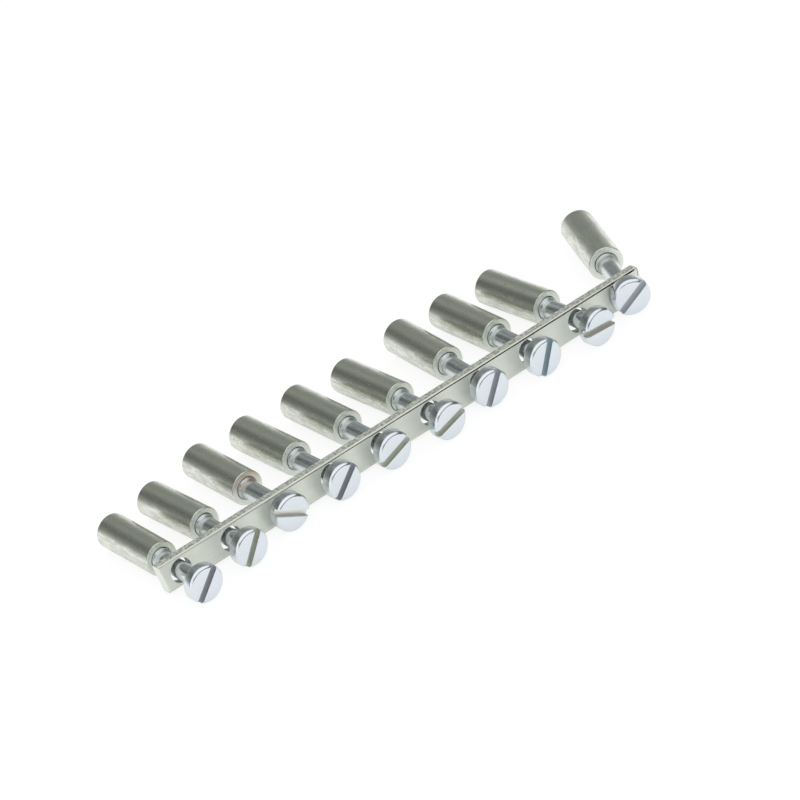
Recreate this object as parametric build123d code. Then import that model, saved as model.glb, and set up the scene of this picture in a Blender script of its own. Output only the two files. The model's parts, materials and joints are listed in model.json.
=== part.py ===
from build123d import *
import os
from math import acos, atan, cos, degrees, hypot, pi, sin, tan

# A ten-pole jumper bar for rail-mounted terminal blocks: a flat strip with one captive
# slotted screw and one plain spacer sleeve for each pole. It lies on a surface as it comes
# to rest, on its screw heads and on the far ends of its sleeves, with the strip hung between.
# +X runs along the strip, +Y from the screw heads to the sleeves, +Z is up.

# Driving dimensions, in millimetres
POLES = 10
PITCH = 8.2

BAR_HOLE = 3.3            # passes the screw's thread
BAR_HOLE_BREAK = 0.06
BAR_LAND = 0.4            # strip left beside each hole
BAR_THICKNESS = 1.3
BAR_EDGE_ROLL = 0.25      # rounding that the shear leaves on the face toward the heads
NEAR_END_LAND = 1.45      # strip left beyond the first hole, at the strip's upper edge
NEAR_END_SKEW = 0.6       # how far the near end is cut out of square
FAR_END_LAND = 0.75

HEAD_DIAMETER = 5.1
HEAD_HEIGHT = 1.6
HEAD_BEVEL = 0.3
HEAD_REAR_BREAK = 0.08
SLOT_WIDTH = 0.9
SLOT_DEPTH = 0.8
SHANK_DIAMETER = 2.4      # the waist that slides in the strip's hole
SHANK_LENGTH = 8.0
SHANK_NECK = 0.2
THREAD_DIAMETER = 2.95
THREAD_RUNOUT = 0.35
THREAD_SHOWING = 0.2      # thread left outside the sleeve's mouth
TIP_BEVEL = 0.45
THREAD_REACH = 5.5        # thread past the sleeve once the pole is screwed down

SLEEVE_DIAMETER = 4.65
SLEEVE_LENGTH = 11.2
SLEEVE_EDGE = 0.15
SLEEVE_BORE_EDGE = 0.08

CLEARANCE = 0.05          # left wherever two pieces would meet

# How the loose pieces came to rest, pole by pole from the near end
LEAN_SHARE = 0.19         # the strip's lean, of the widest that its holes allow
DROP_SHARE = 0.5          # how far the strip has dropped on the shanks, of its play
SLIDE_SHARES = (0.64, 0.43, 0.15, 0.195, 0.225, 0.365, 0.19, 0.28, 0.385, 0.0)
SWING_SHARES = (-0.13, 0.0, -0.095, 0.02, 0.0, 0.115, -0.15, 0.04, 0.255, -0.94)
SLOT_ANGLES = (49, 55, 153, 44, 20, 15, 57, 61, 173, 38)

# Sizes that follow
BAR_WIDTH = BAR_HOLE + 2 * BAR_LAND
HEAD_RADIUS = HEAD_DIAMETER / 2
SLEEVE_RADIUS = SLEEVE_DIAMETER / 2
SLEEVE_BORE = THREAD_DIAMETER + 2 * CLEARANCE
SCREW_REACH = BAR_THICKNESS + SLEEVE_LENGTH + THREAD_REACH
WAIST = SHANK_LENGTH + THREAD_RUNOUT + THREAD_SHOWING

# The head is wider than the sleeve, so a lying screw rises a little toward its head.
FOOT_SPAN = HEAD_REAR_BREAK + WAIST + SLEEVE_LENGTH - SLEEVE_EDGE
RISE = atan((HEAD_RADIUS - SLEEVE_RADIUS) / FOOT_SPAN)


def axis_height(below_head):
    """Height of a lying screw's axis, at a distance below its head."""
    return HEAD_RADIUS * cos(RISE) - (HEAD_REAR_BREAK + below_head) * sin(RISE)


def jam_angle():
    """Tilt, in radians, at which a shank comes within the clearance of both rims of a hole."""
    grip = (SHANK_DIAMETER + 2 * CLEARANCE) / hypot(BAR_HOLE, BAR_THICKNESS)
    return acos(grip) - atan(BAR_THICKNESS / BAR_HOLE)


LEAN = LEAN_SHARE * jam_angle()

# The strip hangs on the shanks, or stands on its lower edge where its holes reach that far.
HOLE_PLAY = (BAR_HOLE * cos(LEAN) - BAR_THICKNESS * sin(LEAN) - SHANK_DIAMETER) / 2 - CLEARANCE
BAR_REST = BAR_WIDTH / 2 * cos(LEAN) + BAR_THICKNESS / 2 * sin(LEAN)
HIGHEST_AXIS = axis_height(BAR_THICKNESS / 2)
BAR_HEIGHT = max(HIGHEST_AXIS - DROP_SHARE * HOLE_PLAY, BAR_REST)
DROP = HIGHEST_AXIS - BAR_HEIGHT


def screw_direction(swing):
    """Unit vector along a lying screw, from its sleeve to its head."""
    return Vector(sin(swing) * cos(RISE), -cos(swing) * cos(RISE), sin(RISE))


def hole_room(swing):
    """Least room between a swung shank and the rims of its hole."""
    along = screw_direction(swing)
    side = Vector(cos(swing), sin(swing), 0)
    up = side.cross(along)
    width_axis = Vector(0, sin(LEAN), cos(LEAN))
    face_normal = Vector(0, -cos(LEAN), sin(LEAN))
    centre = Vector(0, 0, DROP)
    widest = 0.0
    for step in range(72):
        turn = step * pi / 36
        rim = centre + (side * cos(turn) + up * sin(turn)) * (SHANK_DIAMETER / 2)
        for face in (-BAR_THICKNESS / 2, BAR_THICKNESS / 2):
            travel = (face - rim.dot(face_normal)) / along.dot(face_normal)
            point = rim + along * travel
            widest = max(widest, hypot(point.X, point.dot(width_axis)))
    return BAR_HOLE / 2 - widest


def widest_swing():
    """Widest turn about +Z, in radians, that a screw can take in its hole."""
    low, high = 0.0, jam_angle()
    for _ in range(30):
        middle = (low + high) / 2
        if hole_room(middle) > CLEARANCE:
            low = middle
        else:
            high = middle
    return low


def bar_reach(radius, swing, drop):
    """Distance along a screw from the strip's middle to a disc of this radius that meets it."""
    tilt = radius * hypot(sin(swing), tan(LEAN))
    return (tilt + BAR_THICKNESS / 2 / cos(LEAN) + drop * tan(LEAN)) / cos(swing) + CLEARANCE


def slide_range(swing):
    """Nearest and farthest that the underside of a head gets from the strip's middle."""
    nearest = bar_reach(HEAD_RADIUS, swing, -DROP)
    shank_end = SHANK_LENGTH - bar_reach(SHANK_DIAMETER / 2, swing, DROP)
    sleeve_end = WAIST - bar_reach(SLEEVE_RADIUS, swing, DROP)
    return nearest, min(shank_end, sleeve_end)


def make_bar():
    """The strip on its back: length along X, width along Y, the face toward the heads up."""
    last_hole = (POLES - 1) / 2 * PITCH
    near = -last_hole - BAR_HOLE / 2 - NEAR_END_LAND
    far = last_hole + BAR_HOLE / 2 + FAR_END_LAND
    half = BAR_WIDTH / 2
    outline = [(near, half), (near + NEAR_END_SKEW, -half), (far, -half), (far, half)]
    with BuildPart() as bar:
        with BuildSketch():
            Polygon(*outline, align=None)
            with GridLocations(PITCH, 0, POLES, 1):
                Circle(BAR_HOLE / 2, mode=Mode.SUBTRACT)
        extrude(amount=BAR_THICKNESS / 2, both=True)
        front = bar.faces().sort_by(Axis.Z)[-1]
        fillet(front.outer_wire().edges(), BAR_EDGE_ROLL)
        chamfer(bar.edges().filter_by(GeomType.CIRCLE).group_by(SortBy.RADIUS)[-1], BAR_HOLE_BREAK)
    return bar.part


def make_screw(slot_angle):
    """A cheese-head screw along Z with the underside of its head at zero and its slot up."""
    head, shank, thread = HEAD_RADIUS, SHANK_DIAMETER / 2, THREAD_DIAMETER / 2
    with BuildPart() as screw:
        with BuildSketch(Plane.XZ):
            with BuildLine():
                Polyline(
                    (0, HEAD_HEIGHT),
                    (head - HEAD_BEVEL, HEAD_HEIGHT),
                    (head, HEAD_HEIGHT - HEAD_BEVEL),
                    (head, HEAD_REAR_BREAK),
                    (head - HEAD_REAR_BREAK, 0),
                    (shank + SHANK_NECK, 0),
                    (shank, -SHANK_NECK),
                    (shank, -SHANK_LENGTH),
                    (thread, -SHANK_LENGTH - THREAD_RUNOUT),
                    (thread, -SCREW_REACH + TIP_BEVEL),
                    (thread - TIP_BEVEL, -SCREW_REACH),
                    (0, -SCREW_REACH),
                    (0, HEAD_HEIGHT),
                )
            make_face()
        revolve(axis=Axis.Z)
        with Locations(Location((0, 0, HEAD_HEIGHT), (0, 0, slot_angle))):
            Box(HEAD_DIAMETER, SLOT_WIDTH, 2 * SLOT_DEPTH, mode=Mode.SUBTRACT)
    return screw.part


def make_sleeve():
    """A plain tube along Z with its mouth at zero and its far end below."""
    with BuildPart() as sleeve:
        with BuildSketch():
            Circle(SLEEVE_RADIUS)
            Circle(SLEEVE_BORE / 2, mode=Mode.SUBTRACT)
        extrude(amount=-SLEEVE_LENGTH)
        rims = sleeve.edges().filter_by(GeomType.CIRCLE).group_by(SortBy.RADIUS)
        chamfer(rims[0], SLEEVE_BORE_EDGE)
        chamfer(rims[-1], SLEEVE_EDGE)
    return sleeve.part


def head_seat(index):
    """Plane on the underside of a screw's head as it lies, its Z out of the head."""
    swing = SWING_SHARES[index % len(SWING_SHARES)] * widest_swing()
    nearest, farthest = slide_range(swing)
    stand_off = nearest + SLIDE_SHARES[index % len(SLIDE_SHARES)] * (farthest - nearest)
    along = screw_direction(swing)
    crossing = Vector((index - (POLES - 1) / 2) * PITCH, 0, axis_height(stand_off))
    return Plane(crossing + along * stand_off, x_dir=(cos(swing), sin(swing), 0), z_dir=along)


def make_assembly():
    """Every node by name, lying on the plane z = 0."""
    strip = Plane((0, 0, BAR_HEIGHT), x_dir=(1, 0, 0), z_dir=(0, -cos(LEAN), sin(LEAN)))
    nodes = {"jumper_bar": strip * make_bar()}
    for index in range(POLES):
        seat = head_seat(index)
        mouth = seat.offset(-WAIST)
        nodes[f"screw_{index + 1:02d}"] = seat * make_screw(SLOT_ANGLES[index % len(SLOT_ANGLES)])
        nodes[f"sleeve_{index + 1:02d}"] = mouth * make_sleeve()
    return nodes


def footprint_shift(nodes):
    """Move that puts the origin under the middle of the lying part."""
    box = Compound(list(nodes.values())).bounding_box()
    return Pos(-box.center().X, -box.center().Y, -box.min.Z)


def main():
    os.makedirs("parts", exist_ok=True)
    nodes = make_assembly()
    shift = footprint_shift(nodes)
    for name, shape in nodes.items():
        export_step(shift * shape, f"parts/{name}.step")
    print(f"{len(nodes)} nodes, lean {degrees(LEAN):.1f}, swing {degrees(widest_swing()):.1f} degrees")


if __name__ == "__main__":
    main()
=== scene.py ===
# %% [markdown]
# A jumper bar for rail-mounted terminal blocks: a flat plated strip with ten captive screws,
# each with a plain spacer sleeve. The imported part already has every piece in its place. This
# lesson replaces the faceted pieces by smooth ones of the same sizes, gives each its finish,
# and lights and frames it as a small product photograph.

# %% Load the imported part
import json
import math

import bmesh
import bpy
from mathutils import Matrix, Vector


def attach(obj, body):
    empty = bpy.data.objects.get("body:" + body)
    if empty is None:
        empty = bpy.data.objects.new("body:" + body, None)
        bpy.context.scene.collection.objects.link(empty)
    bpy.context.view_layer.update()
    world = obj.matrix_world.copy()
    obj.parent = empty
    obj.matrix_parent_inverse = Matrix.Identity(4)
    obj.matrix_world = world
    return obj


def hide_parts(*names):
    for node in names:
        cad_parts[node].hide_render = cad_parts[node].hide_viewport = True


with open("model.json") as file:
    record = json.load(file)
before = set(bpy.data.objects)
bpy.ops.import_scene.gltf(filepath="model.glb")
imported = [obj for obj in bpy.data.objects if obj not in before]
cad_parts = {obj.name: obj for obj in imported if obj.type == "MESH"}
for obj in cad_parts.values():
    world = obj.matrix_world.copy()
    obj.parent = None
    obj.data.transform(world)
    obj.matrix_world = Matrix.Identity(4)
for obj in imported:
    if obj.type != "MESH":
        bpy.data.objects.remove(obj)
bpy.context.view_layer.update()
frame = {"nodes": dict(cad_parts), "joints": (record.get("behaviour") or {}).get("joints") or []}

# %% [markdown]
# The pieces are turned and sheared metal a few millimetres across, so everything is drawn in
# millimetres and scaled to metres at the end. These are the sizes of the real pieces.

# %% Sizes in millimetres
MM = 0.001
PITCH = 8.2
HOLE = 3.3
HOLE_BREAK = 0.06
EDGE_ROLL = 0.25
NEAR_END_LAND = 1.45
NEAR_END_SKEW = 0.6
FAR_END_LAND = 0.75
HEAD_DIAMETER = 5.1
HEAD_HEIGHT = 1.6
HEAD_BEVEL = 0.3
SLOT_WIDTH = 0.9
SLOT_DEPTH = 0.8
SLOT_ANGLES = (49, 55, 153, 44, 20, 15, 57, 61, 173, 38)
SHANK_DIAMETER = 2.4
SHANK_LENGTH = 8.0
SHANK_NECK = 0.2
THREAD_DIAMETER = 2.95
THREAD_PITCH = 0.5
THREAD_RUNOUT = 0.35
THREAD_SHOWING = 0.2
SCREW_REACH = 18.0
TIP_BEVEL = 0.45
SLEEVE_DIAMETER = 4.65
SLEEVE_BORE = 3.05
SLEEVE_LENGTH = 11.2
SLEEVE_EDGE = 0.15
SLEEVE_BORE_EDGE = 0.08
TURNS = 96
print("strip, ten screws and ten sleeves at a pitch of", PITCH, "mm")

# %% [markdown]
# A screw lies where its joint says: the joint's point is under the head, on the screw's axis,
# and its direction runs from the sleeve to the head. One frame per pole, with Z along the
# screw and X level, places both the screw and its sleeve, so neither can drift from the part.

# %% A frame for each pole
def pole_frame(joint):
    """The screw's own frame in metres: Z out of the head, X level, origin under the head."""
    along = Vector(joint["axis"]).normalized()
    level = Vector((-along.y, along.x, 0)).normalized()
    place = Matrix((level, along.cross(level), along)).transposed().to_4x4()
    place.translation = Vector(joint["pos_m"])
    return place


poles = {j["child"][-2:]: pole_frame(j) for j in frame["joints"] if j["name"].startswith("turn")}
print("poles", sorted(poles))

# %% [markdown]
# The strip's frame is read from its own solid. Its two broad faces are its largest, so the
# normal of the front one gives the lean, and the solid's reach along each axis its sizes.

# %% The strip's frame and sizes
def strip_frame(node):
    """The strip's frame in metres, with Z out of the face toward the heads, and its sizes."""
    solid = node.data
    front = max((p for p in solid.polygons if p.normal.y < -0.5), key=lambda p: p.area).normal
    axes = (Vector((1, 0, 0)), Vector((0, -front.z, front.y)) * -1, front.copy())
    reach = [[v.co.dot(a) for v in solid.vertices] for a in axes]
    middle = sum((a * (max(r) + min(r)) / 2 for a, r in zip(axes, reach)), Vector())
    place = Matrix(axes).transposed().to_4x4()
    place.translation = middle
    return place, [(max(r) - min(r)) / MM for r in reach]


strip_place, strip_size = strip_frame(frame["nodes"]["jumper_bar"])
print("strip", [round(s, 3) for s in strip_size], "mm")

# %% [markdown]
# Screws and sleeves come off a lathe, so their skins are one outline spun about an axis. The
# spin operator makes the full turn, and doubles are merged so that seams and poles close.

# %% Spin an outline
def spun(outline, closed=False):
    """A skin from an outline of (radius, height) points, spun about Z."""
    bm = bmesh.new()
    points = [bm.verts.new((r, 0, z)) for r, z in outline]
    pairs = list(zip(points, points[1:]))
    if closed:
        pairs.append((points[-1], points[0]))
    lines = [bm.edges.new(p) for p in pairs]
    bmesh.ops.spin(
        bm, geom=points + lines, cent=(0, 0, 0), axis=(0, 0, 1),
        angle=math.tau, steps=TURNS, use_merge=True,
    )
    bmesh.ops.remove_doubles(bm, verts=bm.verts, dist=1e-4)
    bmesh.ops.recalc_face_normals(bm, faces=bm.faces)
    return bm


def ring(bm, radius, height):
    """The edges of a turned rim at this radius and height."""
    def on_it(v):
        return abs(math.hypot(v.co.x, v.co.y) - radius) < 1e-3 and abs(v.co.z - height) < 1e-3
    return [e for e in bm.edges if on_it(e.verts[0]) and on_it(e.verts[1])]


def rounded(bm, edges, width, segments=3, limited=True):
    """Rounds these edges, as a tool or wear leaves them."""
    bmesh.ops.bevel(
        bm, geom=edges, offset=width, segments=segments, affect="EDGES",
        profile=0.5, material=-1, clamp_overlap=limited,
    )


# %% [markdown]
# A finished mesh keeps its own coordinates, in millimetres, in an attribute called own. The
# finishes read it, so brushing and streaks follow each piece whichever way it lies. A second
# attribute, number, tells the poles apart so that no two have the same marks. A third, cut,
# is 1 on the faces that a tool cut last: a sheared edge, a parted-off end or a milled slot.

# %% Finish and place a piece
def finish_piece(bm, name, place, body, number, is_cut):
    """Stores the piece's own coordinates, moves it to its place and hands it to its body."""
    own = bm.verts.layers.float_vector.new("own")
    pole = bm.verts.layers.float.new("number")
    cut = bm.faces.layers.float.new("cut")
    bm.normal_update()
    for v in bm.verts:
        v[own] = v.co
        v[pole] = number
    for f in bm.faces:
        f[cut] = float(is_cut(f))
    bmesh.ops.transform(bm, matrix=place @ Matrix.Scale(MM, 4), verts=bm.verts)
    mesh = bpy.data.meshes.new(name)
    bm.to_mesh(mesh)
    bm.free()
    mesh.shade_smooth()
    mesh.set_sharp_from_angle(angle=math.radians(50))
    piece = bpy.data.objects.new(name, mesh)
    bpy.context.scene.collection.objects.link(piece)
    shading = piece.modifiers.new("even shading", "WEIGHTED_NORMAL")
    shading.keep_sharp = True
    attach(piece, body)
    return piece


# %% [markdown]
# The head's slot is milled straight across. Three cuts mark it out on the spun head, the strip
# between them is taken away, and two walls and a floor close it. Its edges are then broken a
# little, because a milled edge that has been plated is never knife-sharp.

# %% Mill the slot
def mill_slot(bm):
    """Cuts the slot along X into the head, from its face down."""
    floor = HEAD_HEIGHT - SLOT_DEPTH
    half = SLOT_WIDTH / 2
    cuts = [((0, half, 0), (0, 1, 0)), ((0, -half, 0), (0, 1, 0)), ((0, 0, floor), (0, 0, 1))]
    for spot, normal in cuts:
        head = {f for f in bm.faces if f.calc_center_median().z > 0.01}
        geom = list(head) + list({e for f in head for e in f.edges})
        geom += list({v for f in head for v in f.verts})
        bmesh.ops.bisect_plane(bm, geom=geom, plane_co=spot, plane_no=normal, dist=1e-5)
    waste = [
        f for f in bm.faces
        if abs(f.calc_center_median().y) < half and f.calc_center_median().z > floor
    ]
    bmesh.ops.delete(bm, geom=waste, context="FACES")
    new_faces = []
    for y in (-half, half):
        low = [
            v for v in bm.verts
            if abs(v.co.y - y) < 1e-4 and abs(v.co.z - floor) < 1e-4
        ]
        bmesh.ops.contextual_create(bm, geom=low)
    open_edges = [e for e in bm.edges if len(e.link_faces) < 2]
    for y in (-half, half):
        wall = [e for e in open_edges if all(abs(v.co.y - y) < 1e-4 for v in e.verts)]
        new_faces += bmesh.ops.contextual_create(bm, geom=wall)["faces"]
    base = [e for e in open_edges if all(abs(v.co.z - floor) < 1e-4 for v in e.verts)]
    new_faces += bmesh.ops.contextual_create(bm, geom=base)["faces"]
    inner = {e for e in bm.edges if all(f in new_faces for f in e.link_faces)}
    broken = [e for f in new_faces for e in f.edges if e not in inner]
    bmesh.ops.recalc_face_normals(bm, faces=bm.faces)
    return list(set(broken))


# %% [markdown]
# The thread is a real helix: one V-shaped tooth spun round the core while it climbs by its
# pitch. It starts just inside the sleeve, under a plain collar, and its last turns are pressed
# in to the cone of the tip, so the tooth fades away there as a rolled thread does.

# %% Roll the thread
THREAD_TOP = -SHANK_LENGTH - THREAD_RUNOUT - THREAD_SHOWING - 0.25
THREAD_DEPTH = 0.28
STEPS_PER_TURN = 28


def cone_limit(z):
    """Greatest radius of the thread at this height, where the tip's cone presses it in."""
    half = THREAD_DIAMETER / 2
    return min(half, half - TIP_BEVEL + z + SCREW_REACH)


def roll_thread(bm):
    """Adds the helical tooth to the screw's core."""
    half = THREAD_DIAMETER / 2
    crest = THREAD_PITCH / 8
    bottom = -SCREW_REACH + 0.02
    turns = int((THREAD_TOP - bottom) / THREAD_PITCH) - 1
    tooth = [
        (half - THREAD_DEPTH, 0.0),
        (half, (THREAD_PITCH - crest) / 2),
        (half, (THREAD_PITCH + crest) / 2),
        (half - THREAD_DEPTH, THREAD_PITCH),
    ]
    points = [bm.verts.new((r, 0, bottom + z)) for r, z in tooth]
    lines = [bm.edges.new(pair) for pair in zip(points, points[1:])]
    before = set(bm.verts) - set(points)
    steps = turns * STEPS_PER_TURN
    bmesh.ops.spin(
        bm, geom=points + lines, cent=(0, 0, 0), axis=(0, 0, 1), angle=math.tau * turns,
        dvec=(0, 0, THREAD_PITCH / STEPS_PER_TURN), steps=steps, use_merge=False,
    )
    helix = [v for v in bm.verts if v not in before]
    for v in helix:
        radius = math.hypot(v.co.x, v.co.y)
        limit = cone_limit(v.co.z)
        if radius > limit:
            v.co.x *= limit / radius
            v.co.y *= limit / radius
    bmesh.ops.remove_doubles(bm, verts=helix, dist=1e-4)
    skin = [f for f in bm.faces if all(v not in before for v in f.verts)]
    bmesh.ops.recalc_face_normals(bm, faces=skin)
    return turns


# %% [markdown]
# A whole screw: a cheese head with a turned bevel, a plain waist that slides in the strip's
# hole, and the thread that keeps the sleeve on it. The rims are rounded while the mesh is
# still a plain spun skin, where the bevel operator works most evenly.

# %% Make a screw
def make_screw():
    """A screw with the underside of its head at zero and its slot along X."""
    head = HEAD_DIAMETER / 2
    shank = SHANK_DIAMETER / 2
    collar = THREAD_DIAMETER / 2
    core = collar - THREAD_DEPTH
    outline = [
        (0, HEAD_HEIGHT),
        (head - HEAD_BEVEL, HEAD_HEIGHT),
        (head, HEAD_HEIGHT - HEAD_BEVEL),
        (head, 0),
        (shank, 0),
        (shank, -SHANK_LENGTH),
        (collar, -SHANK_LENGTH - THREAD_RUNOUT),
        (collar, THREAD_TOP + 0.1),
        (core + 0.02, THREAD_TOP),
        (core + 0.02, -SCREW_REACH + 0.2),
        (core - 0.18, -SCREW_REACH),
        (0, -SCREW_REACH),
    ]
    bm = spun(outline)
    rounded(bm, ring(bm, head - HEAD_BEVEL, HEAD_HEIGHT), 0.12, 4)
    rounded(bm, ring(bm, head, HEAD_HEIGHT - HEAD_BEVEL), 0.07, 4)
    rounded(bm, ring(bm, head, 0), 0.08, 3)
    rounded(bm, ring(bm, shank, 0), SHANK_NECK, 4)
    broken = mill_slot(bm)
    rounded(bm, broken, 0.03, 2)
    roll_thread(bm)
    return bm


def in_slot(face):
    """True for the walls and the floor of the milled slot."""
    spot = face.calc_center_median()
    floor = HEAD_HEIGHT - SLOT_DEPTH
    return abs(spot.y) < SLOT_WIDTH / 2 + 0.001 and floor - 0.001 < spot.z < HEAD_HEIGHT - 0.02


screws = {}
for index, (tag, place) in enumerate(sorted(poles.items())):
    name = f"screw_{tag}"
    turned = place @ Matrix.Rotation(math.radians(SLOT_ANGLES[index]), 4, "Z")
    screws[tag] = finish_piece(
        make_screw(), f"{name}_turned", turned, name, index + 1, in_slot,
    )
    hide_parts(name)
print("screws", len(screws), "with", len(screws["01"].data.polygons), "faces each")

# %% [markdown]
# A sleeve is a piece of tube parted off square. Its outer rims are well rounded from tumbling
# and its bore has a light break at each end.

# %% Make a sleeve
def make_sleeve():
    """A tube along Z with its mouth at zero and its far end below."""
    outer = SLEEVE_DIAMETER / 2
    bore = SLEEVE_BORE / 2
    bm = spun([(bore, 0), (outer, 0), (outer, -SLEEVE_LENGTH), (bore, -SLEEVE_LENGTH)], closed=True)
    for height in (0, -SLEEVE_LENGTH):
        rounded(bm, ring(bm, outer, height), SLEEVE_EDGE, 4)
        rounded(bm, ring(bm, bore, height), SLEEVE_BORE_EDGE, 2)
    return bm


def parted_off(face):
    """True for the flat rings at a sleeve's two ends."""
    return abs(face.normal.z) > 0.98


MOUTH = -(SHANK_LENGTH + THREAD_RUNOUT + THREAD_SHOWING) * MM
sleeves = {}
for index, (tag, place) in enumerate(sorted(poles.items())):
    name = f"sleeve_{tag}"
    mouth = place @ Matrix.Translation((0, 0, MOUTH))
    sleeves[tag] = finish_piece(
        make_sleeve(), f"{name}_tube", mouth, name, index + 1, parted_off,
    )
    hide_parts(name)
print("sleeves", len(sleeves), "with", len(sleeves["01"].data.polygons), "faces each")

# %% [markdown]
# The strip is sheared from plate and punched. Its outline and its hole rims are filled flat,
# the sheet gets its thickness, and the edges are treated apart: the shear rolls the outline
# over on one face, while the holes and the other face keep small burrs. One upper corner has
# been knocked round.

# %% Make the strip
WORN_CORNER = 0.35


def on_rim(v):
    """True for a vertex of the strip's outline, which no hole reaches."""
    return abs(v.co.y) > HOLE / 2 + 0.02


def make_strip(size):
    """The strip on its back: length along X, width along Y, the face toward the heads up."""
    length, width, thickness = size
    holes_middle = (NEAR_END_LAND - FAR_END_LAND) / 2
    bm = bmesh.new()
    corners = [
        bm.verts.new((x, y, -thickness / 2))
        for x, y in (
            (-length / 2 + NEAR_END_SKEW, -width / 2), (length / 2, -width / 2),
            (length / 2, width / 2), (-length / 2, width / 2),
        )
    ]
    for a, b in zip(corners, corners[1:] + corners[:1]):
        bm.edges.new((a, b))
    for index in range(len(poles)):
        along = holes_middle + (index - (len(poles) - 1) / 2) * PITCH
        spot = Matrix.Translation((along, 0, -thickness / 2))
        bmesh.ops.create_circle(bm, cap_ends=False, segments=TURNS, radius=HOLE / 2, matrix=spot)
    sheet = bmesh.ops.triangle_fill(bm, edges=bm.edges[:], use_beauty=True, normal=(0, 0, 1))
    faces = [g for g in sheet["geom"] if isinstance(g, bmesh.types.BMFace)]
    grown = bmesh.ops.extrude_face_region(bm, geom=faces, use_keep_orig=True)
    lifted = [g for g in grown["geom"] if isinstance(g, bmesh.types.BMVert)]
    bmesh.ops.translate(bm, vec=(0, 0, thickness), verts=lifted)
    bmesh.ops.recalc_face_normals(bm, faces=bm.faces)
    worn = [e for e in bm.edges if all(v.co.x > length / 2 - 0.01 and v.co.y > 0 for v in e.verts)]
    rounded(bm, worn, WORN_CORNER, 4)
    sharp = [e for e in bm.edges if e.is_manifold and e.calc_face_angle() > 1.0]
    level = [e for e in sharp if abs(e.verts[0].co.z - e.verts[1].co.z) < 1e-3]
    rolled = [e for e in level if all(v.co.z > 0 and on_rim(v) for v in e.verts)]
    rounded(bm, [e for e in level if e not in rolled], HOLE_BREAK, 2)
    rounded(bm, [e for e in rolled if e.is_valid], EDGE_ROLL, 5, limited=False)
    for place in (-length / 2 + 1.2, length / 2 - 0.68):
        geom = bm.verts[:] + bm.edges[:] + bm.faces[:]
        bmesh.ops.bisect_plane(bm, geom=geom, plane_co=(place, 0, 0), plane_no=(1, 0, 0), dist=1e-5)
    return bm


ROLLED = 0.5


def sheared(face):
    """1 on the long edges and the walls of the holes, and ROLLED on the rolled edge."""
    level = abs(face.normal.z)
    if level < 0.1:
        return abs(face.normal.y) > 0.9 or not on_rim(face.verts[0])
    return ROLLED if level < 0.99 and face.normal.z > 0 and on_rim(face.verts[0]) else 0.0


strip = finish_piece(
    make_strip(strip_size), "jumper_strip", strip_place, "bar", 0, sheared,
)
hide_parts("jumper_bar")
burnished = [d.value for d in strip.data.attributes["cut"].data if 0 < d.value < 1]
print("strip faces", len(strip.data.polygons), "of them on the rolled edge", len(burnished))

# %% [markdown]
# Plated metal is never one even colour. Two small shader groups give every finish its life:
# one makes soft cloudy patches, the other fine marks drawn out along one direction of the
# piece. They read the piece's own coordinates and its number, and put out plain values.

# %% Node helpers
def new_group(name, inputs, outputs):
    """An empty shader group with these named sockets, and its two end nodes."""
    group = bpy.data.node_groups.new(name, "ShaderNodeTree")
    for label, kind, value in inputs:
        socket = group.interface.new_socket(name=label, in_out="INPUT", socket_type=kind)
        if value is not None:
            socket.default_value = value
    for label, kind in outputs:
        group.interface.new_socket(name=label, in_out="OUTPUT", socket_type=kind)
    return group, group.nodes.new("NodeGroupInput"), group.nodes.new("NodeGroupOutput")


def add(tree, kind, settings=None, **values):
    """A node of this kind with its settings and unlinked socket values."""
    node = tree.nodes.new(kind)
    for key, value in (settings or {}).items():
        setattr(node, key, value)
    for key, value in values.items():
        node.inputs[key.replace("_", " ")].default_value = value
    return node


def math_node(tree, operation, a, b=0.5, clamp=False):
    """Arithmetic on sockets or numbers, and its result."""
    node = tree.nodes.new("ShaderNodeMath")
    node.operation = operation
    node.use_clamp = clamp
    for socket, value in zip(node.inputs, (a, b)):
        if isinstance(value, (int, float)):
            socket.default_value = value
        else:
            tree.links.new(value, socket)
    return node.outputs[0]


def ramp(tree, value, low, high, to_low=0.0, to_high=1.0):
    """A smooth step of a value from one range to another."""
    node = tree.nodes.new("ShaderNodeMapRange")
    node.interpolation_type = "SMOOTHSTEP"
    tree.links.new(value, node.inputs["Value"])
    for label, number in (("From Min", low), ("From Max", high), ("To Min", to_low), ("To Max", to_high)):
        node.inputs[label].default_value = number
    return node.outputs["Result"]


def mixed(tree, factor, a, b, blend="MIX"):
    """Two colours mixed by a factor."""
    node = tree.nodes.new("ShaderNodeMix")
    node.data_type = "RGBA"
    node.blend_type = blend
    for socket, value in ((node.inputs[0], factor), (node.inputs[6], a), (node.inputs[7], b)):
        if isinstance(value, (int, float)):
            socket.default_value = value
        elif isinstance(value, tuple):
            socket.default_value = (*value, 1.0)
        else:
            tree.links.new(value, socket)
    return node.outputs[2]


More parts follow.
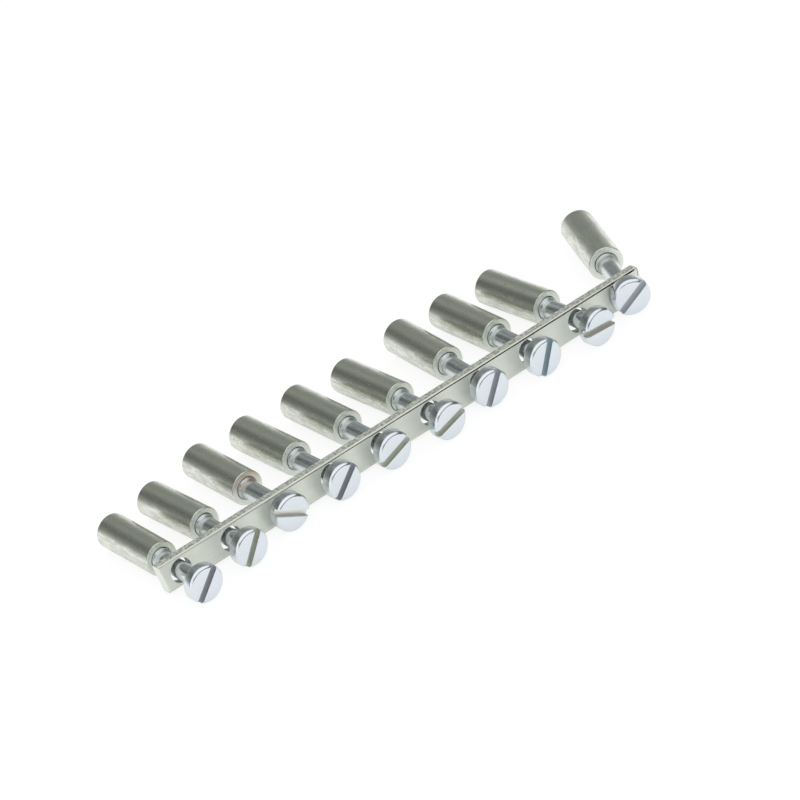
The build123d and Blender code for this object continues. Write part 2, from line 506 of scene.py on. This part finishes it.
# %% Clouds and drawn marks
def make_clouds():
    """Soft patches of a given size in millimetres, from 0 to 1."""
    group, start, end = new_group(
        "Cloudy patches",
        [("Own", "NodeSocketVector", None), ("Number", "NodeSocketFloat", 0.0),
         ("Size", "NodeSocketFloat", 1.0), ("Sharpness", "NodeSocketFloat", 0.5)],
        [("Patches", "NodeSocketFloat")],
    )
    scale = math_node(group, "DIVIDE", 1.0, start.outputs["Size"])
    noise = add(group, "ShaderNodeTexNoise", {"noise_dimensions": "4D"}, Detail=4.0, Roughness=0.6)
    group.links.new(start.outputs["Own"], noise.inputs["Vector"])
    group.links.new(start.outputs["Number"], noise.inputs["W"])
    group.links.new(scale, noise.inputs["Scale"])
    spread = math_node(group, "MULTIPLY", math_node(group, "SUBTRACT", 1.0, start.outputs["Sharpness"]), 0.35)
    low = math_node(group, "SUBTRACT", 0.5, spread)
    high = math_node(group, "ADD", 0.5, spread)
    step = group.nodes.new("ShaderNodeMapRange")
    step.interpolation_type = "SMOOTHSTEP"
    group.links.new(noise.outputs[0], step.inputs["Value"])
    group.links.new(low, step.inputs["From Min"])
    group.links.new(high, step.inputs["From Max"])
    group.links.new(step.outputs["Result"], end.inputs["Patches"])
    return group


def make_drawn():
    """Fine marks stretched by a vector of scales per millimetre, from 0 to 1."""
    group, start, end = new_group(
        "Drawn marks",
        [("Own", "NodeSocketVector", None), ("Number", "NodeSocketFloat", 0.0),
         ("Density", "NodeSocketVector", (1.0, 1.0, 1.0))],
        [("Marks", "NodeSocketFloat")],
    )
    stretch = add(group, "ShaderNodeVectorMath", {"operation": "MULTIPLY"})
    group.links.new(start.outputs["Own"], stretch.inputs[0])
    group.links.new(start.outputs["Density"], stretch.inputs[1])
    noise = add(
        group, "ShaderNodeTexNoise", {"noise_dimensions": "4D"}, Scale=1.0, Detail=5.0, Roughness=0.65
    )
    group.links.new(stretch.outputs[0], noise.inputs["Vector"])
    group.links.new(start.outputs["Number"], noise.inputs["W"])
    group.links.new(noise.outputs[0], end.inputs["Marks"])
    return group


CLOUDS = make_clouds()
DRAWN = make_drawn()
print("groups", CLOUDS.name, "and", DRAWN.name)


# %% Starting a metal
def new_metal(name):
    """A metal material with its shader, and the piece's own coordinates, number and cut."""
    material = bpy.data.materials.new(name)
    material.use_nodes = True
    tree = material.node_tree
    tree.nodes.clear()
    shader = add(tree, "ShaderNodeBsdfPrincipled", None, Metallic=1.0)
    output = tree.nodes.new("ShaderNodeOutputMaterial")
    tree.links.new(shader.outputs[0], output.inputs["Surface"])
    own = add(tree, "ShaderNodeAttribute", {"attribute_name": "own"})
    number = add(tree, "ShaderNodeAttribute", {"attribute_name": "number"})
    cut = add(tree, "ShaderNodeAttribute", {"attribute_name": "cut"})
    return material, tree, shader, own.outputs["Vector"], number.outputs["Fac"], cut.outputs["Fac"]


def clouds(tree, own, number, size, sharpness=0.5):
    """Cloudy patches of this size in the material."""
    node = add(tree, "ShaderNodeGroup", {"node_tree": CLOUDS}, Size=size, Sharpness=sharpness)
    tree.links.new(own, node.inputs["Own"])
    tree.links.new(number, node.inputs["Number"])
    return node.outputs["Patches"]


def drawn(tree, own, number, density):
    """Drawn marks with this many features per millimetre along each axis."""
    node = add(tree, "ShaderNodeGroup", {"node_tree": DRAWN}, Density=density)
    tree.links.new(own, node.inputs["Own"])
    tree.links.new(number, node.inputs["Number"])
    return node.outputs["Marks"]


def bump(tree, shader, height, strength, distance):
    """Feeds a height, in the given distance in metres, to the shader's normal."""
    node = add(tree, "ShaderNodeBump", None, Strength=strength, Distance=distance)
    tree.links.new(height, node.inputs["Height"])
    tree.links.new(node.outputs[0], shader.inputs["Normal"])


# %% [markdown]
# The screws are steel with blue-passivated zinc: a bright bluish white that drifts to lilac
# and to a faint green where the film is thicker. The turned parts keep fine marks, and the
# milled slots are rough and darker, some toward violet and the others toward olive.

# %% Zinc for the screws
def make_zinc():
    """Blue-passivated zinc on turned steel."""
    material, tree, shader, own, number, cut = new_metal("blue passivated zinc")
    lilac = clouds(tree, own, number, 2.6, 0.2)
    green = clouds(tree, own, math_node(tree, "ADD", number, 40.0), 3.0, 0.2)
    colour = mixed(tree, lilac, (0.77, 0.83, 0.89), (0.79, 0.81, 0.90))
    colour = mixed(tree, math_node(tree, "MULTIPLY", green, 0.6), colour, (0.75, 0.84, 0.82))
    third = math_node(tree, "COMPARE", math_node(tree, "MODULO", number, 3.0), 1.0)
    eighth = math_node(tree, "COMPARE", number, 8.0)
    milled = mixed(tree, third, (0.69, 0.71, 0.65), (0.62, 0.64, 0.68))
    milled = mixed(tree, eighth, milled, (0.58, 0.66, 0.70))
    pale = math_node(tree, "COMPARE", math_node(tree, "MODULO", number, 6.0), 3.0)
    milled = mixed(tree, pale, milled, (0.80, 0.80, 0.76))
    colour = mixed(tree, cut, colour, milled)
    fine = drawn(tree, own, number, (9.0, 9.0, 1.2))
    shade = ramp(tree, fine, 0.3, 0.75, 0.86, 1.04)
    tree.links.new(mixed(tree, 1.0, colour, shade, "MULTIPLY"), shader.inputs["Base Color"])
    dull = math_node(tree, "MULTIPLY", cut, 0.12)
    rough = math_node(tree, "ADD", ramp(tree, fine, 0.3, 0.7, 0.14, 0.26), dull)
    tree.links.new(rough, shader.inputs["Roughness"])
    bump(tree, shader, fine, 0.12, 0.00004)
    return material


# %% [markdown]
# The sleeves are nickel-plated and satin, with darker mottling drawn out along the tube and
# small pits. The parted-off ends are paler and more even, partly for their turned finish and partly as
# painted light that brightens the mouths.

# %% Nickel for the sleeves
def make_nickel():
    """Satin nickel plate on turned tube."""
    material, tree, shader, own, number, cut = new_metal("satin nickel")
    streak = drawn(tree, own, number, (2.2, 2.2, 0.5))
    pits = drawn(tree, own, math_node(tree, "ADD", number, 20.0), (3.4, 3.4, 1.5))
    colour = mixed(tree, ramp(tree, streak, 0.38, 0.62), (0.76, 0.78, 0.71), (0.60, 0.62, 0.56))
    dark = ramp(tree, pits, 0.60, 0.68)
    colour = mixed(tree, math_node(tree, "MULTIPLY", dark, 0.7), colour, (0.30, 0.31, 0.26))
    # The paler ends are partly painted light: a lighter colour that brightens the mouths.
    colour = mixed(tree, cut, colour, (0.83, 0.86, 0.79))
    parts = tree.nodes.new("ShaderNodeSeparateXYZ")
    tree.links.new(own, parts.inputs[0])
    third = math_node(tree, "COMPARE", number, 3.0)
    stain = math_node(tree, "MULTIPLY", third, ramp(tree, parts.outputs[1], -0.5, 1.8, 0.0, 0.5))
    stain = math_node(tree, "MULTIPLY", stain, cut)
    colour = mixed(tree, stain, colour, (0.66, 0.40, 0.28))
    tree.links.new(colour, shader.inputs["Base Color"])
    satin = ramp(tree, streak, 0.3, 0.7, 0.2, 0.32)
    dull = math_node(tree, "MULTIPLY", cut, 0.2)
    tree.links.new(math_node(tree, "ADD", satin, dull), shader.inputs["Roughness"])
    bump(tree, shader, math_node(tree, "SUBTRACT", streak, dark), 0.25, 0.00005)
    return material


# %% [markdown]
# The strip is tin-plated: a warm light grey on its broad faces, with faint stains. Its sheared
# edges and the walls of its holes are torn rather than cut, so they are duller, coarser and
# speckled, while the edge that the shear rolled over is burnished. A painted dark line along the
# rolled edge is a painted reflection: it stands in for the dark room that the roll reflects.
# Matt tin scatters some light, so it isn't quite as metallic as the other platings.

# %% Tin for the strip
def make_tin():
    """Tin plate on a sheared and punched strip."""
    material, tree, shader, own, number, cut = new_metal("tin plate")
    stain = clouds(tree, own, number, 3.4, 0.3)
    speck = clouds(tree, own, math_node(tree, "ADD", number, 9.0), 0.28, 0.7)
    colour = mixed(tree, stain, (0.84, 0.86, 0.78), (0.79, 0.82, 0.73))
    torn = mixed(tree, speck, (0.70, 0.72, 0.66), (0.30, 0.32, 0.27))
    edge = math_node(tree, "COMPARE", cut, 1.0)
    rolled = math_node(tree, "COMPARE", cut, ROLLED)
    for node in (edge.node, rolled.node):
        node.inputs[2].default_value = 0.1
    colour = mixed(tree, edge, colour, torn)
    parts = tree.nodes.new("ShaderNodeSeparateXYZ")
    tree.links.new(own, parts.inputs[0])
    across = math_node(tree, "ABSOLUTE", parts.outputs[1])
    start = strip_size[1] / 2 - EDGE_ROLL
    # Painted reflection: a dark line along the rolled edge, in place of the dark room that the roll reflects.
    painted_dark_line = math_node(
        tree, "MULTIPLY", ramp(tree, across, start + 0.02, start + 0.07),
        ramp(tree, across, start + 0.15, start + 0.20, 1.0, 0.0),
    )
    painted_dark_line = math_node(tree, "MULTIPLY", math_node(tree, "MULTIPLY", painted_dark_line, rolled), 0.35)
    colour = mixed(tree, painted_dark_line, colour, (0.16, 0.17, 0.14))
    tree.links.new(colour, shader.inputs["Base Color"])
    shader.inputs["Metallic"].default_value = 0.5
    burnished = math_node(tree, "MULTIPLY", rolled, -0.08)
    rough = math_node(tree, "ADD", ramp(tree, edge, 0.0, 1.0, 0.48, 0.6), burnished)
    tree.links.new(rough, shader.inputs["Roughness"])
    grain = math_node(tree, "MULTIPLY", speck, math_node(tree, "ADD", edge, 0.08))
    bump(tree, shader, grain, 0.4, 0.00004)
    return material


zinc = make_zinc()
nickel = make_nickel()
tin = make_tin()
for tag in poles:
    screws[tag].data.materials.append(zinc)
    sleeves[tag].data.materials.append(nickel)
strip.data.materials.append(tin)
print("finishes", zinc.name, nickel.name, tin.name)

# %% [markdown]
# The studio is a white sweep with light from all round. Camera and mirror rays see the floor
# and walls as white, and the floor still darkens a little under the part.

# %% Floor
def make_floor():
    """A wide pale floor just under the part."""
    bm = bmesh.new()
    bmesh.ops.create_grid(bm, x_segments=1, y_segments=1, size=3.0)
    mesh = bpy.data.meshes.new("floor")
    bm.to_mesh(mesh)
    bm.free()
    floor = bpy.data.objects.new("floor", mesh)
    bpy.context.scene.collection.objects.link(floor)
    material = bpy.data.materials.new("white sweep")
    material.use_nodes = True
    tree = material.node_tree
    tree.nodes.clear()
    rays = tree.nodes.new("ShaderNodeLightPath")
    mirror = math_node(tree, "MAXIMUM", rays.outputs["Is Glossy Ray"], rays.outputs["Is Transmission Ray"])
    camera = rays.outputs["Is Camera Ray"]
    paper = tree.nodes.new("ShaderNodeBsdfDiffuse")
    shade = ramp(tree, mirror, 0.0, 1.0, 0.95, 0.6)
    shade = math_node(tree, "SUBTRACT", shade, math_node(tree, "MULTIPLY", camera, 0.77))
    tree.links.new(shade, paper.inputs["Color"])
    glow = tree.nodes.new("ShaderNodeEmission")
    bright = math_node(tree, "MULTIPLY", mirror, 0.46)
    bright = math_node(tree, "ADD", bright, math_node(tree, "MULTIPLY", camera, 0.85))
    tree.links.new(bright, glow.inputs["Strength"])
    both = tree.nodes.new("ShaderNodeAddShader")
    output = tree.nodes.new("ShaderNodeOutputMaterial")
    tree.links.new(paper.outputs[0], both.inputs[0])
    tree.links.new(glow.outputs[0], both.inputs[1])
    tree.links.new(both.outputs[0], output.inputs["Surface"])
    mesh.materials.append(material)
    return floor


floor = make_floor()
print("floor", floor.name)

# %% [markdown]
# Metal shows its surroundings, so the surroundings matter more than any lamp: white near the
# horizon behind the part, a grey ceiling above it that darkens the tops of the sleeves, a
# darker room behind the camera, and a broad soft light above the front.

# %% Surroundings
def make_world():
    """A studio that is white to the camera and shaded by height and side to mirror rays."""
    world = bpy.data.worlds.new("studio")
    bpy.context.scene.world = world
    world.use_nodes = True
    tree = world.node_tree
    tree.nodes.clear()
    place = tree.nodes.new("ShaderNodeTexCoord")
    parts = tree.nodes.new("ShaderNodeSeparateXYZ")
    tree.links.new(place.outputs["Generated"], parts.inputs[0])
    side, depth, height = parts.outputs[0], parts.outputs[1], parts.outputs[2]
    rear = ramp(tree, depth, 0.0, 0.4)
    aside = math_node(tree, "MULTIPLY", math_node(tree, "ABSOLUTE", side), 0.25)
    tilted = math_node(tree, "ADD", height, aside)
    low = ramp(tree, tilted, 0.0, 0.36, 0.6, 0.0)
    low = math_node(tree, "ADD", low, ramp(tree, height, 0.1, 0.55, 0.22, 0.0))
    right = ramp(tree, side, -0.4, 0.1, 0.0, 0.12)
    front = ramp(tree, depth, -0.3, 0.1, 1.0, 0.0)
    spread = math_node(tree, "MAXIMUM", ramp(tree, height, 0.36, 0.56), ramp(tree, side, -0.45, -0.68))
    lamp = math_node(tree, "MULTIPLY", front, spread)
    ceiling = ramp(tree, height, 0.68, 0.92, 0.0, 0.7)
    rays = tree.nodes.new("ShaderNodeLightPath")
    total = math_node(tree, "MULTIPLY", rear, math_node(tree, "ADD", low, right))
    for part in (math_node(tree, "MAXIMUM", lamp, ceiling), 0.13):
        total = math_node(tree, "ADD", total, part)
    direct = math_node(tree, "LESS_THAN", rays.outputs["Diffuse Depth"], 0.5)
    mirror = math_node(tree, "MULTIPLY", rays.outputs["Is Glossy Ray"], direct)
    plain = math_node(tree, "SUBTRACT", 1.0, mirror)
    shaded = math_node(tree, "MULTIPLY", total, mirror)
    strength = math_node(tree, "ADD", plain, shaded)
    back = tree.nodes.new("ShaderNodeBackground")
    tree.links.new(mixed(tree, strength, (0.93, 1.0, 0.90), (1.0, 1.0, 1.0)), back.inputs["Color"])
    tree.links.new(strength, back.inputs["Strength"])
    output = tree.nodes.new("ShaderNodeOutputWorld")
    tree.links.new(back.outputs[0], output.inputs["Surface"])
    return world


world = make_world()
print("world", world.name)

# %% [markdown]
# The photograph was taken from far away with a long lens, turned a little about its own axis.
# The camera is built from its direction, its roll and the size of a millimetre in the image.

# %% Camera
AZIMUTH = math.radians(-30.700)
ELEVATION = math.radians(31.480)
ROLL = math.radians(-14.930)
DISTANCE = 2418.4
PIXELS_PER_MM = 7.9149
IMAGE = 800
AIM = Vector((0.134, -0.013, 2.5))
AIM_AT = (391.447, 402.948)
SENSOR = 36.0


def make_camera():
    """The camera, with the aim point at its place in the image."""
    back = Vector((
        math.sin(AZIMUTH) * math.cos(ELEVATION),
        -math.cos(AZIMUTH) * math.cos(ELEVATION),
        math.sin(ELEVATION),
    ))
    level = Vector((math.cos(AZIMUTH), math.sin(AZIMUTH), 0))
    upright = back.cross(level)
    right = level * math.cos(ROLL) + upright * math.sin(ROLL)
    up = upright * math.cos(ROLL) - level * math.sin(ROLL)
    spot = AIM + back * DISTANCE
    spot += right * (IMAGE / 2 - AIM_AT[0]) / PIXELS_PER_MM
    spot += up * (AIM_AT[1] - IMAGE / 2) / PIXELS_PER_MM
    data = bpy.data.cameras.new("camera")
    data.sensor_width = SENSOR
    data.lens = SENSOR * DISTANCE * PIXELS_PER_MM / IMAGE
    data.clip_end = 20.0
    camera = bpy.data.objects.new("camera", data)
    camera.matrix_world = Matrix.Translation(spot * MM) @ Matrix((right, up, back)).transposed().to_4x4()
    bpy.context.scene.collection.objects.link(camera)
    bpy.context.scene.camera = camera
    return camera


camera = make_camera()
bpy.context.scene.view_settings.view_transform = "Standard"
print("lens", round(camera.data.lens, 1), "mm")
